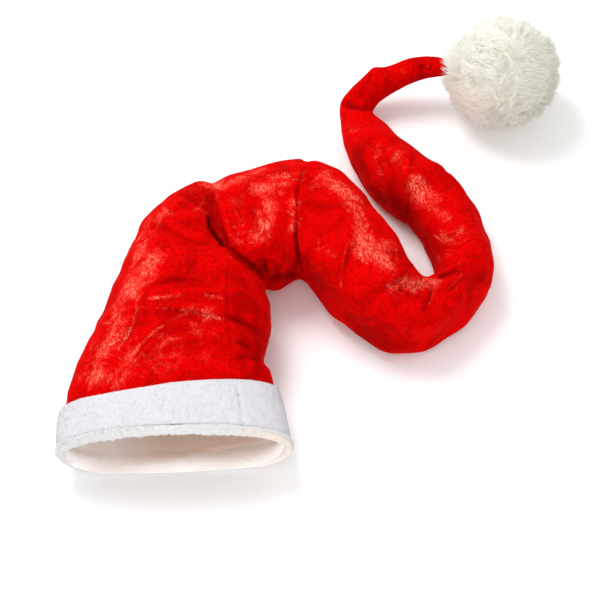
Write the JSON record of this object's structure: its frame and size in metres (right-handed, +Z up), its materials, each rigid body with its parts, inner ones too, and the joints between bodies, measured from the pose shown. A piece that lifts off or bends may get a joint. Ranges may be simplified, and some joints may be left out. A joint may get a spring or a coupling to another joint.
{
  "type": "long stuffed santa hat",
  "caption": "Long padded red velvet santa hat lying in bends, with a white plush band round the head opening and a fur pompom at the tip.",
  "frame": {"origin": "on the resting plane under the middle of the plush band", "axes": "+Z up from the resting plane, -Y out of the head opening, +X to the side on which the tail and the pompom lie"},
  "size_m": [0.649, 0.5528, 0.139],
  "materials": {
    "velvet_red": "crushed velvet with a short shiny pile",
    "plush_white": "short-pile plush",
    "hem_pile": "fluffy plush roll",
    "facing_cloth": "plush seen from its woven back",
    "lining_cloth": "matt knitted lining",
    "fur_white": "long-pile fur"
  },
  "bodies": {
    "root": {"velvet_cone": "velvet_red", "plush_band": "plush_white", "rolled_hem": "hem_pile", "band_facing": "facing_cloth", "head_lining": "lining_cloth", "pompom": "fur_white"}
  },
  "joints": []
}
